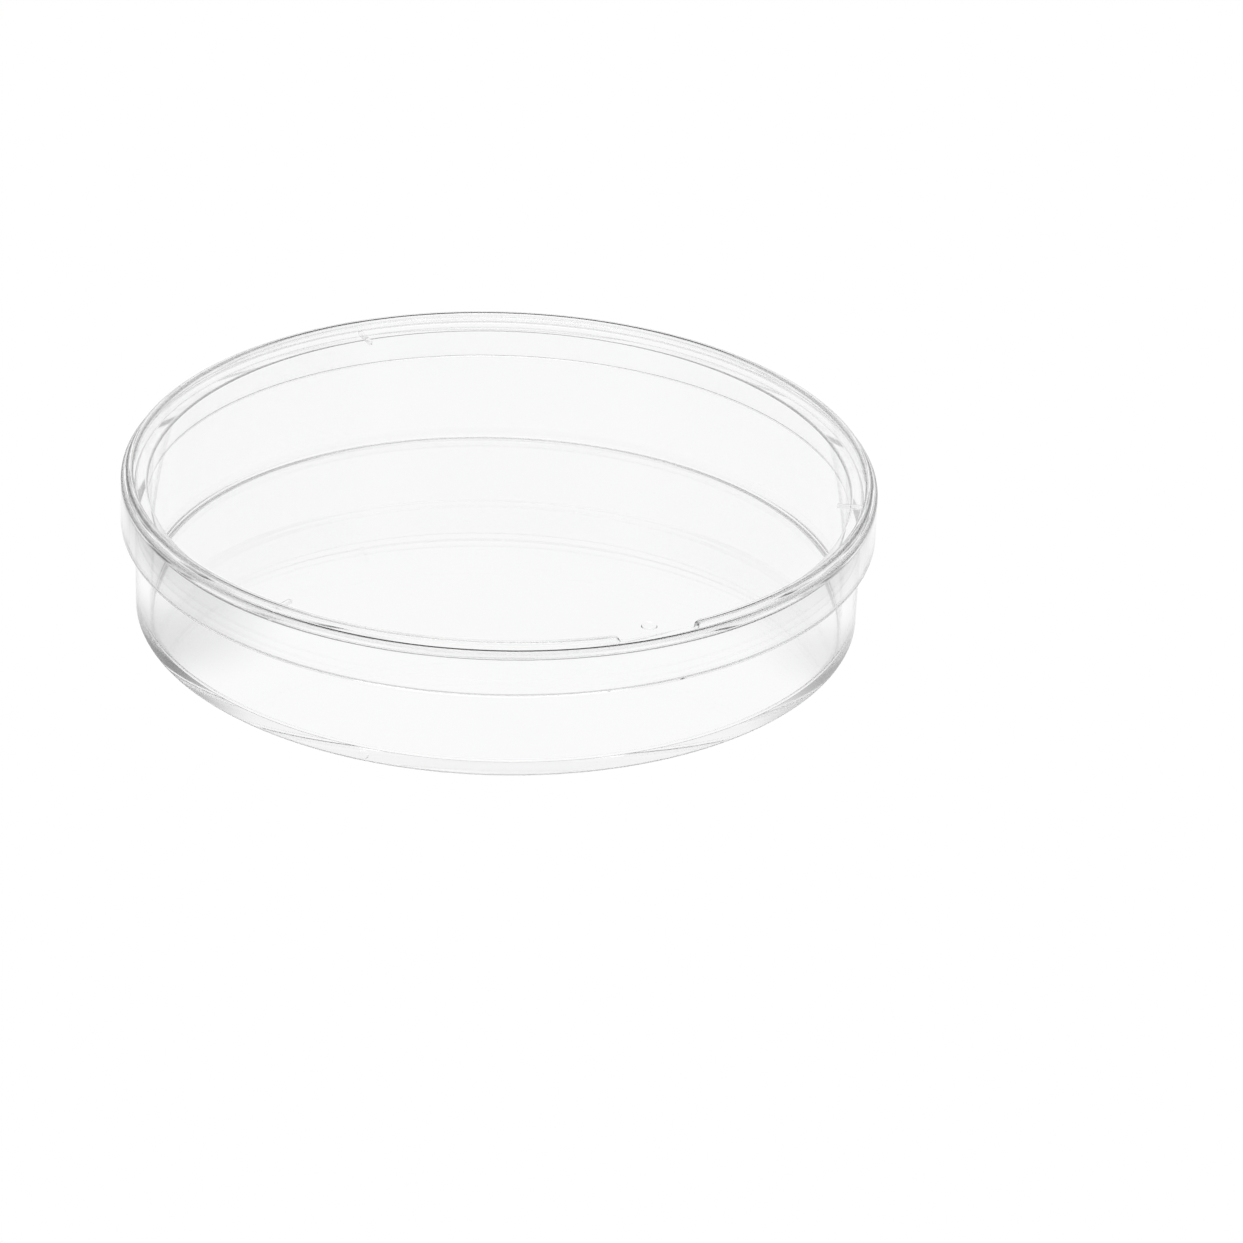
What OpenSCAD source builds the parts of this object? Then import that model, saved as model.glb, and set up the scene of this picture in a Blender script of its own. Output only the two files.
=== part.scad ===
// Round laboratory petri dish with a loose vented lid, standing on a table.
// Frame: origin at the centre of the dish's resting face, +Z up along the axis of both mouldings.

/* [Base dish] */
// Outer diameter of the base dish at its rim
base_od = 86.8; // [70:0.2:140]
// Height of the base dish from the table to its rim
base_h = 15.5; // [10:0.1:25]
// Thickness of the base wall
base_wall = 1.6; // [0.8:0.1:2]
// Thickness of the base floor
floor_t = 1.2; // [0.8:0.1:2]
// How much narrower, per side, the wall is at the table than at the rim
base_draft = 0.25; // [0:0.05:0.4]
// Rounding of the bottom outer edge
foot_round = 0.45; // [0.2:0.05:1]
// Rounding between the floor and the inside of the wall
well_round = 0.8; // [0.2:0.1:1.5]

/* [Lid] */
// Running gap, per side, between the base rim and the lid skirt
lid_gap = 0.5; // [0.4:0.1:1.2]
// Thickness of the lid skirt
skirt_wall = 1.1; // [0.8:0.1:2]
// Thickness of the lid plate
plate_t = 1.2; // [0.8:0.1:2]
// How far the skirt hangs below the underside of the plate
skirt_drop = 4.8; // [3:0.1:7]
// Rounding of the lid's outer top edge
lid_round = 0.45; // [0.2:0.05:0.5]

/* [Stacking ring] */
// Height of the stacking ring above the plate
ring_h = 0.8; // [0.4:0.1:1.5]
// Width of the stacking ring
ring_w = 0.9; // [0.6:0.1:1]
// How far the middle of the ring lies inside the lid's outer edge
ring_inset = 1.05; // [1.05:0.05:3]
// Direction of the gap in the ring, in degrees from +X
ring_gap_at = 295; // [0:1:359]
// Angle left open by the gap
ring_gap = 12; // [4:1:30]

/* [Vents] */
// Number of vent ribs under the plate
vents = 3; // [3:1:6]
// Height of a vent rib, which holds the plate off the base rim
vent_h = 0.45; // [0.2:0.05:0.8]
// Width of a vent rib
vent_w = 0.6; // [0.4:0.1:1.5]
// Length of a vent rib, inwards from the skirt
vent_l = 3.6; // [2.5:0.1:6]
// Direction of the first vent rib, in degrees from +X
vent_at = 114; // [0:1:119]

/* [Gate marks] */
// Diameter of the round gate mark on the lid, beside the gap in the ring
lid_gate_d = 1.9; // [1:0.1:3]
// Diameter of the round gate mark low on the outside of the base wall
base_gate_d = 1.2; // [0.8:0.1:1.6]
// How far both gate marks stand proud
gate_h = 0.15; // [0.1:0.05:0.2]
// Direction of the base's gate mark, in degrees from +X
base_gate_at = 250; // [0:1:359]

/* [Hidden] */
$fn = 96;
arc_steps = 6;       // straight steps in each rounded corner of a section
rim_round = 0.3;     // rounding of the two edges of the base rim and of the skirt's lower edge
lid_rest_gap = 0.05; // play left between the vent ribs and the base rim
bite = 0.1;          // how far a small feature is sunk into the wall that carries it

base_r = base_od / 2;
foot_r = base_r - base_draft;
skirt_r_in = base_r + lid_gap;
lid_r = skirt_r_in + skirt_wall;
plate_under = base_h + lid_rest_gap + vent_h;
plate_top = plate_under + plate_t;
skirt_z = plate_under - skirt_drop;
ring_r = lid_r - ring_inset;
ring_round = min(0.42 * ring_w, 0.9 * ring_h); // rounding of the ring's two top edges
lid_gate_r = ring_r - ring_w / 2 - lid_gate_d;
base_gate_z = foot_round + base_gate_d / 2;

// Points of a rounded corner at b, between the straight edges from a and to c
function unit(v) = v / norm(v);
function corner(a, b, c, r) =
    let (
        u = unit(a - b),
        v = unit(c - b),
        half = acos(u * v) / 2,
        centre = b + unit(u + v) * r / sin(half),
        start = b + u * r / tan(half) - centre,
        side = b + v * r / tan(half) - centre,
        turn = 180 - 2 * half,
        sense = sign(start.x * side.y - start.y * side.x)
    )
    [for (i = [0 : arc_steps])
        let (t = sense * turn * i / arc_steps)
        centre + [start.x * cos(t) - start.y * sin(t), start.x * sin(t) + start.y * cos(t)]];

// A closed outline: each entry is a point and its rounding, 0 for a sharp corner
function rounded(outline) =
    let (n = len(outline))
    [for (i = [0 : n - 1])
        let (
            a = outline[(i + n - 1) % n][0],
            b = outline[i][0],
            c = outline[(i + 1) % n][0],
            r = outline[i][1]
        )
        each (r == 0 ? [b] : corner(a, b, c, r))];

module turned(outline) {
    rotate_extrude() polygon(rounded(outline));
}

// A low round mark, standing on the z = 0 plane
module gate_mark(d) {
    translate([0, 0, -bite])
        cylinder(d = d, h = gate_h + bite);
}

// Shallow cup: flat floor, slightly flared wall, rounded well corner and bottom edge
module dish_base() {
    color([0.93, 0.95, 0.96, 0.35]) union() {
        turned([
            [[0, 0], 0],
            [[foot_r, 0], foot_round],
            [[base_r, base_h], rim_round],
            [[base_r - base_wall, base_h], rim_round],
            [[foot_r - base_wall, floor_t], well_round],
            [[0, floor_t], 0]
        ]);
        rotate([0, 0, base_gate_at])
            translate([foot_r, 0, base_gate_z])
                rotate([0, 90, 0])
                    gate_mark(base_gate_d);
    }
}

// Plate, skirt and stacking ring, all round
module lid_shell() {
    turned([
        [[0, plate_under], 0],
        [[skirt_r_in, plate_under], rim_round],
        [[skirt_r_in, skirt_z], rim_round],
        [[lid_r, skirt_z], rim_round],
        [[lid_r, plate_top], lid_round],
        [[ring_r + ring_w / 2, plate_top], 0],
        [[ring_r + ring_w / 2, plate_top + ring_h], ring_round],
        [[ring_r - ring_w / 2, plate_top + ring_h], ring_round],
        [[ring_r - ring_w / 2, plate_top], 0],
        [[0, plate_top], 0]
    ]);
}

// What is taken out of the ring at the gate
module ring_opening() {
    rotate([0, 0, ring_gap_at - ring_gap / 2])
        rotate_extrude(angle = ring_gap)
            translate([ring_r - ring_w, plate_top])
                square([2 * ring_w, 2 * ring_h]);
}

// Short radial ribs that lift the plate off the base rim, so that air can pass
module vent_ribs() {
    for (i = [0 : vents - 1])
        rotate([0, 0, vent_at + i * 360 / vents])
            translate([skirt_r_in - vent_l, -vent_w / 2, plate_under - vent_h])
                cube([vent_l + bite, vent_w, vent_h + bite]);
}

module lid() {
    color([0.93, 0.95, 0.96, 0.35]) union() {
        difference() {
            lid_shell();
            ring_opening();
        }
        vent_ribs();
        rotate([0, 0, ring_gap_at])
            translate([lid_gate_r, 0, plate_top])
                gate_mark(lid_gate_d);
    }
}

dish_base();
lid();
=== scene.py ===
from math import atan2, cos, degrees, hypot, pi, radians, sin, sqrt, tan

import bmesh
import bpy
from mathutils import Matrix, Vector


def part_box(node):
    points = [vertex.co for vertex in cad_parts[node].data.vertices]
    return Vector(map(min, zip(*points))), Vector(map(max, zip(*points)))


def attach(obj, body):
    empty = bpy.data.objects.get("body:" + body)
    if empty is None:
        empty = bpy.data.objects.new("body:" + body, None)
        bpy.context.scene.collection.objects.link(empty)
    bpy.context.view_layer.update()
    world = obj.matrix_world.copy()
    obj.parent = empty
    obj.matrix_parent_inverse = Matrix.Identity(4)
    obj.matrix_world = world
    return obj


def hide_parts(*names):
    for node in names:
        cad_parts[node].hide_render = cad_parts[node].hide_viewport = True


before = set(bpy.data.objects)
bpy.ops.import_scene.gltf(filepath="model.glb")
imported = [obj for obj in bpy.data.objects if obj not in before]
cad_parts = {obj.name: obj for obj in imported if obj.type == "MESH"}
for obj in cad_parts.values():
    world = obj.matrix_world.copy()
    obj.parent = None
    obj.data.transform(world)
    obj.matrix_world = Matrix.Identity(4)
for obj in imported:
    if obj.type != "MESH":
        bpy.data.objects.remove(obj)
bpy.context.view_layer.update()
scene = bpy.context.scene
mm = 0.001
touching = 1e-6          # points closer than this are one point, in metres
hair = 0.01 * mm         # air left between a small mark and the face it lies on
sharpFrom = radians(40)  # edges that turn by more than this stay crisp


print("camera")
cameraSet = {
    "place": (0.0, -0.8005, 0.4152),
    "aim": (0.0150, -0.0054, 0.0009),
    "roll": 2.107,       # degrees, anticlockwise as the camera sees it
    "lens": 217.6,       # millimetres, as is the sensor
    "sensor": 36.0,
    "clip": (0.01, 20),
}


def makeCamera(look):
    data = bpy.data.cameras.new("longLens")
    data.lens = look["lens"]
    data.sensor_width = look["sensor"]
    data.clip_start, data.clip_end = look["clip"]
    camera = bpy.data.objects.new("longLens", data)
    scene.collection.objects.link(camera)
    place = Vector(look["place"])
    towards = Vector(look["aim"]) - place
    turn = towards.to_track_quat("-Z", "Y").to_matrix().to_4x4()
    camera.matrix_world = Matrix.Translation(place) @ turn @ Matrix.Rotation(radians(look["roll"]), 4, "Z")
    scene.camera = camera


makeCamera(cameraSet)


def roundedOutline(corners, steps=7, hold=0.03 * mm):
    # corners are ((radius, height), rounding); a held point on each side of an arc keeps the flats flat
    points = []
    for i, (corner, rounding) in enumerate(corners):
        corner = Vector(corner)
        if not rounding:
            points.append(corner)
            continue
        before = (Vector(corners[i - 1][0]) - corner).normalized()
        after = (Vector(corners[(i + 1) % len(corners)][0]) - corner).normalized()
        half = before.angle(after) / 2
        centre = corner + (before + after).normalized() * rounding / sin(half)
        start = corner + before * rounding / tan(half) - centre
        end = corner + after * rounding / tan(half) - centre
        first = atan2(start.y, start.x)
        turn = atan2(start.x * end.y - start.y * end.x, start.dot(end))
        points.append(centre + start + before * hold)
        for step in range(steps + 1):
            angle = first + turn * step / steps
            points.append(centre + rounding * Vector((cos(angle), sin(angle))))
        points.append(centre + end + after * hold)
    return points


def turned(points, columns):
    # spins the outline once round the axis
    bm = bmesh.new()
    verts = [bm.verts.new((p.x, 0, p.y)) for p in points]
    edges = [bm.edges.new(pair) for pair in zip(verts, verts[1:])]
    bmesh.ops.spin(bm, geom=verts + edges, cent=(0, 0, 0), axis=(0, 0, 1), angle=2 * pi,
                   steps=columns, use_merge=True)
    bmesh.ops.remove_doubles(bm, verts=bm.verts, dist=touching)
    return bm


def turnBetween(a, b):
    # degrees from b to a, between -180 and 180
    return (a - b + 180) % 360 - 180


def addMark(bm, place, mark):
    # a low round mark along the place's Z, a hair off its face so that the two surfaces stay apart
    middle = Matrix.Translation((0, 0, hair + mark["height"] / 2))
    bmesh.ops.create_cone(bm, cap_ends=True, segments=mark["segments"], radius1=mark["radius"],
                          radius2=mark["radius"] - mark["taper"], depth=mark["height"],
                          matrix=place @ middle)


def around(angle, radius, height):
    return Matrix.Rotation(radians(angle), 4, "Z") @ Matrix.Translation((radius, 0, height))


def makePiece(bm, name, body, node, material):
    bmesh.ops.recalc_face_normals(bm, faces=bm.faces)
    openEdges = sum(1 for e in bm.edges if not e.is_manifold)
    print(f"{name}: {len(bm.faces)} faces, {openEdges} open edges")
    mesh = bpy.data.meshes.new(name)
    bm.to_mesh(mesh)
    bm.free()
    mesh.polygons.foreach_set("use_smooth", [True] * len(mesh.polygons))
    mesh.set_sharp_from_angle(angle=sharpFrom)
    mesh.materials.append(material)
    piece = bpy.data.objects.new(name, mesh)
    scene.collection.objects.link(piece)
    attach(piece, body)
    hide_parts(node)


print("materials")
polystyrene = {
    "ior": 1.59,
    "colour": (0.9975, 0.9985, 0.9985),
    "smudgeColour": (0.992, 0.994, 0.995),
    "roughness": (0.0, 0.035),     # where it is clean, and under a full smudge
    "smudgeSize": 55.0,            # smudges in a metre, about
    "smudgeDetail": 5,
    "smudgeGrain": 0.62,
    "smudgeFrom": (0.48, 0.74),    # where in the noise a smudge begins and is full
    "flowSize": 26.0,              # ripples in a metre, about
    "flowDetail": 1,
    "flowDepth": 0.004 * mm,
}


def socket(group, name, way):
    group.interface.new_socket(name=name, in_out=way, socket_type="NodeSocketFloat")


def mouldedSurface(look):
    # smudges and a faint flow ripple, for every clear moulding
    group = bpy.data.node_groups.new("mouldedSurface", "ShaderNodeTree")
    for name in ("Smudge Scale", "Flow Scale"):
        socket(group, name, "INPUT")
    for name in ("Smudges", "Ripple"):
        socket(group, name, "OUTPUT")
    nodes, links = group.nodes, group.links
    given, out = nodes.new("NodeGroupInput"), nodes.new("NodeGroupOutput")
    place = nodes.new("ShaderNodeTexCoord")
    smudge = nodes.new("ShaderNodeTexNoise")
    smudge.inputs["Detail"].default_value = look["smudgeDetail"]
    smudge.inputs["Roughness"].default_value = look["smudgeGrain"]
    links.new(place.outputs["Object"], smudge.inputs["Vector"])
    links.new(given.outputs["Smudge Scale"], smudge.inputs["Scale"])
    spread = nodes.new("ShaderNodeMapRange")
    for name, value in zip(("From Min", "From Max"), look["smudgeFrom"]):
        spread.inputs[name].default_value = value
    links.new(smudge.outputs["Fac"], spread.inputs["Value"])
    ripple = nodes.new("ShaderNodeTexNoise")
    ripple.inputs["Detail"].default_value = look["flowDetail"]
    links.new(place.outputs["Object"], ripple.inputs["Vector"])
    links.new(given.outputs["Flow Scale"], ripple.inputs["Scale"])
    links.new(spread.outputs["Result"], out.inputs["Smudges"])
    links.new(ripple.outputs["Fac"], out.inputs["Ripple"])
    return group


def clearMoulding(name, look, group):
    material = bpy.data.materials.new(name)
    material.use_nodes = True
    nodes, links = material.node_tree.nodes, material.node_tree.links
    shader = nodes["Principled BSDF"]
    shader.inputs["Transmission Weight"].default_value = 1.0
    shader.inputs["IOR"].default_value = look["ior"]
    surface = nodes.new("ShaderNodeGroup")
    surface.node_tree = group
    surface.inputs["Smudge Scale"].default_value = look["smudgeSize"]
    surface.inputs["Flow Scale"].default_value = look["flowSize"]
    tint = nodes.new("ShaderNodeMix")
    tint.data_type = "RGBA"
    tint.inputs["A"].default_value = (*look["colour"], 1)
    tint.inputs["B"].default_value = (*look["smudgeColour"], 1)
    links.new(surface.outputs["Smudges"], tint.inputs["Factor"])
    links.new(tint.outputs["Result"], shader.inputs["Base Color"])
    haze = nodes.new("ShaderNodeMapRange")
    for name, value in zip(("To Min", "To Max"), look["roughness"]):
        haze.inputs[name].default_value = value
    links.new(surface.outputs["Smudges"], haze.inputs["Value"])
    links.new(haze.outputs["Result"], shader.inputs["Roughness"])
    bump = nodes.new("ShaderNodeBump")
    bump.inputs["Strength"].default_value = 1.0
    bump.inputs["Distance"].default_value = look["flowDepth"]
    links.new(surface.outputs["Ripple"], bump.inputs["Height"])
    links.new(bump.outputs["Normal"], shader.inputs["Normal"])
    return material


clearPlastic = clearMoulding("clearPolystyrene", polystyrene, mouldedSurface(polystyrene))


print("base dish")
baseDish = {
    "wall": 1.6 * mm,
    "floor": 1.2 * mm,
    "draft": 0.25 * mm,
    "footRound": 0.45 * mm,
    "wellRound": 0.8 * mm,
    "rimRound": 0.3 * mm,
    "columns": 360,
    "gate": {"radius": 0.6 * mm, "taper": 0.1 * mm, "height": 0.14 * mm, "segments": 32},
    "gateAngle": 250,        # degrees from +X
    "gateHeight": 1.05 * mm,
}


def makeBase(look):
    low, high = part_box("dish_base")
    rim, top = high.x, high.z
    foot = rim - look["draft"]
    outline = roundedOutline((
        ((0, 0), 0),
        ((foot, 0), look["footRound"]),
        ((rim, top), look["rimRound"]),
        ((rim - look["wall"], top), look["rimRound"]),
        ((foot - look["wall"], look["floor"]), look["wellRound"]),
        ((0, look["floor"]), 0),
    ))
    bm = turned(outline, look["columns"])
    wallThere = foot + look["draft"] * look["gateHeight"] / top
    outwards = Matrix.Rotation(radians(90), 4, "Y")
    addMark(bm, around(look["gateAngle"], wallThere, look["gateHeight"]) @ outwards, look["gate"])
    makePiece(bm, "baseDish", "base", "dish_base", clearPlastic)


makeBase(baseDish)


print("lid")
lidPiece = {
    "plate": 1.2 * mm,
    "skirt": 1.1 * mm,
    "edgeRound": 0.45 * mm,
    "skirtRound": 0.3 * mm,
    "underRound": 0.12 * mm,
    "ringHeight": 0.8 * mm,
    "ringWidth": 0.9 * mm,
    "ringInset": 1.05 * mm,
    "ringRound": 0.38 * mm,
    "ringHold": 0.05 * mm,   # keeps the shading of the ring's foot off the flat plate
    "tipLength": 1.2 * mm,   # over which the ring tapers at each side of its gap
    "gapAngle": 295,         # degrees from +X, as are the other directions
    "gapSpan": 12,
    "vents": 3,
    "ventAngle": 114,
    "ventHeight": 0.45 * mm,
    "ventWidth": 0.6 * mm,
    "ventInner": 3.6 * mm,   # how far inside the skirt a rib begins
    "ventOuter": 0.3 * mm,   # how far inside the skirt it ends
    "ventRound": 0.08 * mm,
    "columns": 720,
    "gate": {"radius": 0.95 * mm, "taper": 0.1 * mm, "height": 0.15 * mm, "segments": 32},
}


def shapeRing(bm, look, ring, plateTop):
    # takes the ring down to the plate in its gap, and rounds its two tips
    for vert in bm.verts:
        radius = hypot(vert.co.x, vert.co.y)
        onRing = abs(radius - ring) < look["ringWidth"] / 2 + touching
        if not onRing or vert.co.z < plateTop - touching:
            continue
        angle = degrees(atan2(vert.co.y, vert.co.x))
        past = radians(abs(turnBetween(angle, look["gapAngle"])) - look["gapSpan"] / 2) * ring
        if past > look["tipLength"]:
            continue
        share = max(0.0, 1 - past / look["tipLength"])
        size = sqrt(max(0.0, 1 - share * share)) if past > -touching else 0.0
        vert.co.z = plateTop + (vert.co.z - plateTop) * size
        if past > -touching:
            closer = (ring + (radius - ring) * size) / radius
            vert.co.x *= closer
            vert.co.y *= closer
    bmesh.ops.remove_doubles(bm, verts=bm.verts, dist=touching)


def addVent(bm, look, angle, inner, outer, under):
    # a small radial rib, hung a hair below the plate
    height = look["ventHeight"] - hair
    size = Matrix.Diagonal((outer - inner, look["ventWidth"], height, 1))
    place = around(angle, (inner + outer) / 2, under - hair - height / 2)
    rib = bmesh.ops.create_cube(bm, size=1, matrix=place @ size)
    edges = {edge for vert in rib["verts"] for edge in vert.link_edges}
    bmesh.ops.bevel(bm, geom=list(edges), offset=look["ventRound"], segments=2, profile=0.5,
                    affect="EDGES", material=-1)


def makeLid(look):
    low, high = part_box("lid")
    edge, foot = high.x, low.z
    plateTop = high.z - look["ringHeight"]
    under = plateTop - look["plate"]
    skirt = edge - look["skirt"]
    ring = edge - look["ringInset"]
    half = look["ringWidth"] / 2
    outline = roundedOutline((
        ((0, under), 0),
        ((skirt, under), look["underRound"]),
        ((skirt, foot), look["skirtRound"]),
        ((edge, foot), look["skirtRound"]),
        ((edge, plateTop), look["edgeRound"]),
        ((ring + half + look["ringHold"], plateTop), 0),
        ((ring + half, plateTop), 0),
        ((ring + half, high.z), look["ringRound"]),
        ((ring - half, high.z), look["ringRound"]),
        ((ring - half, plateTop), 0),
        ((ring - half - look["ringHold"], plateTop), 0),
        ((0, plateTop), 0),
    ))
    bm = turned(outline, look["columns"])
    shapeRing(bm, look, ring, plateTop)
    for i in range(look["vents"]):
        addVent(bm, look, look["ventAngle"] + i * 360 / look["vents"],
                skirt - look["ventInner"], skirt - look["ventOuter"], under)
    gate = look["gate"]
    addMark(bm, around(look["gapAngle"], ring - half - 2 * gate["radius"], plateTop), gate)
    makePiece(bm, "lidShell", "cover", "lid", clearPlastic)


makeLid(lidPiece)


print("studio")
studio = {
    "floorReach": 1.6,
    "floorUnder": 0.1 * mm,
    "floorSegments": 96,
    "paperTone": 0.970,
    # painted shade on the paper beside the dish: where it starts and ends out from the axis, and its tone
    # at the left and at the right
    "paintedShadeEdge": (50 * mm, 68 * mm),   # where the paper starts and ends to dim, out from the axis
    "leftPaintedShade": 0.35,
    "rightPaintedShade": 0.60,
    # two soft painted shadows on the paper under the dish: the middle, how far the full and the last of it
    # reach, and its depth
    "paintedShadows": (
        {"place": (-39 * mm, -11 * mm, 0), "reach": (2 * mm, 15 * mm), "depth": 0.26},
        {"place": (41 * mm, -11 * mm, 0), "reach": (2 * mm, 12 * mm), "depth": 0.16},
    ),
    "sky": 0.92,
    # four dark flags: which way each stands, its tone, where it begins to the side, and where it ends above
    "flags": (
        {"way": (1, 0, 0), "tone": 0.08, "side": (0.50, 0.80), "top": (0.40, 0.70)},
        {"way": (-1, 0, 0), "tone": 0.30, "side": (0.55, 0.85), "top": (0.45, 0.75)},
        {"way": (0, -1, 0), "tone": 0.45, "side": (0.55, 0.85), "top": (0.45, 0.75)},
        {"way": (0, 1, 0), "tone": 0.02, "side": (0.0, 0.35), "top": (0.20, 0.40)},
    ),
    "keyPower": 2.0,
    "keySize": 0.9,
    "keyPlace": (0.0, 0.05, 1.3),
    "bounces": 64,                     # light runs a long way inside clear plastic
}


def smoothMask(nodes, links, value, low, high):
    mask = nodes.new("ShaderNodeMapRange")
    mask.interpolation_type = "SMOOTHSTEP"
    mask.inputs["From Min"].default_value = low
    mask.inputs["From Max"].default_value = high
    links.new(value, mask.inputs["Value"])
    return mask.outputs["Result"]


def joined(nodes, links, work, a, b):
    made = nodes.new("ShaderNodeMath")
    made.operation = work
    for value, place in ((a, made.inputs[0]), (b, made.inputs[1])):
        if isinstance(value, (int, float)):
            place.default_value = value
        else:
            links.new(value, place)
    return made.outputs[0]


def along(nodes, links, vector, way):
    made = nodes.new("ShaderNodeVectorMath")
    made.operation = "DOT_PRODUCT"
    made.inputs[1].default_value = way
    links.new(vector, made.inputs[0])
    return made.outputs["Value"]


def paperWithPaintedShade(look):
    # white to the camera; through the plastic, darker with painted shade beside the dish and with two soft
    # painted shadows under it
    paper = bpy.data.materials.new("paperWithPaintedShade")
    paper.use_nodes = True
    nodes, links = paper.node_tree.nodes, paper.node_tree.links
    shader = nodes["Principled BSDF"]
    shader.inputs["Base Color"].default_value = (0.0, 0.0, 0.0, 1)
    shader.inputs["Specular IOR Level"].default_value = 0.0
    shader.inputs["Emission Strength"].default_value = 1.0
    place = nodes.new("ShaderNodeTexCoord").outputs["Object"]
    loss = 1 - look["paperTone"]
    # painted shade on the paper left and right of the dish, seen only through the plastic
    for way, dimmed in (((-1, 0, 0), "leftPaintedShade"), ((1, 0, 0), "rightPaintedShade")):
        mask = smoothMask(nodes, links, along(nodes, links, place, way), *look["paintedShadeEdge"])
        loss = joined(nodes, links, "ADD", loss, joined(nodes, links, "MULTIPLY", mask, 1 - look[dimmed]))
    # two soft painted shadows under the dish, seen only through the plastic
    for shade in look["paintedShadows"]:
        away = nodes.new("ShaderNodeVectorMath")
        away.operation = "DISTANCE"
        away.inputs[1].default_value = shade["place"]
        links.new(place, away.inputs[0])
        near, far = shade["reach"]
        outside = smoothMask(nodes, links, away.outputs["Value"], near, far)
        inside = joined(nodes, links, "SUBTRACT", 1.0, outside)
        loss = joined(nodes, links, "ADD", loss, joined(nodes, links, "MULTIPLY", inside, shade["depth"]))
    path = nodes.new("ShaderNodeLightPath")
    indirect = joined(nodes, links, "SUBTRACT", 1.0, path.outputs["Is Camera Ray"])
    tone = joined(nodes, links, "SUBTRACT", 1.0, joined(nodes, links, "MULTIPLY", loss, indirect))
    links.new(tone, shader.inputs["Emission Color"])
    return paper


def makeFloor(look):
    bm = bmesh.new()
    bmesh.ops.create_circle(bm, cap_ends=True, segments=look["floorSegments"], radius=look["floorReach"],
                            matrix=Matrix.Translation((0, 0, -look["floorUnder"])))
    mesh = bpy.data.meshes.new("benchTop")
    bm.to_mesh(mesh)
    bm.free()
    mesh.materials.append(paperWithPaintedShade(look))
    floor = bpy.data.objects.new("benchTop", mesh)
    scene.collection.objects.link(floor)


def makeSurroundings(look):
    # a pale tent with soft dark flags around it, white where the camera looks straight at it
    world = bpy.data.worlds.new("paleTent")
    scene.world = world
    world.use_nodes = True
    nodes, links = world.node_tree.nodes, world.node_tree.links
    background = nodes["Background"]
    background.inputs["Color"].default_value = (1, 1, 1, 1)
    way = nodes.new("ShaderNodeTexCoord").outputs["Generated"]
    height = along(nodes, links, way, (0, 0, 1))
    tone = look["sky"]
    for flag in look["flags"]:
        side = smoothMask(nodes, links, along(nodes, links, way, flag["way"]), *flag["side"])
        below = joined(nodes, links, "SUBTRACT", 1.0, smoothMask(nodes, links, height, *flag["top"]))
        shade = joined(nodes, links, "MULTIPLY", joined(nodes, links, "MULTIPLY", side, below),
                       look["sky"] - flag["tone"])
        tone = joined(nodes, links, "MINIMUM", tone, joined(nodes, links, "SUBTRACT", look["sky"], shade))
    path = nodes.new("ShaderNodeLightPath")
    seen = nodes.new("ShaderNodeMix")
    seen.inputs["B"].default_value = 1.0
    links.new(path.outputs["Is Camera Ray"], seen.inputs["Factor"])
    links.new(tone, seen.inputs["A"])
    links.new(seen.outputs["Result"], background.inputs["Strength"])


def makeKey(look):
    data = bpy.data.lights.new("softbox", "AREA")
    data.shape = "DISK"
    data.size = look["keySize"]
    data.energy = look["keyPower"]
    light = bpy.data.objects.new("softbox", data)
    scene.collection.objects.link(light)
    light.location = look["keyPlace"]
    light.rotation_euler = (-Vector(look["keyPlace"])).to_track_quat("-Z", "Y").to_euler()


makeFloor(studio)
makeSurroundings(studio)
makeKey(studio)
scene.view_settings.view_transform = "Standard"
for limit in ("max_bounces", "glossy_bounces", "transmission_bounces"):
    setattr(scene.cycles, limit, studio["bounces"])
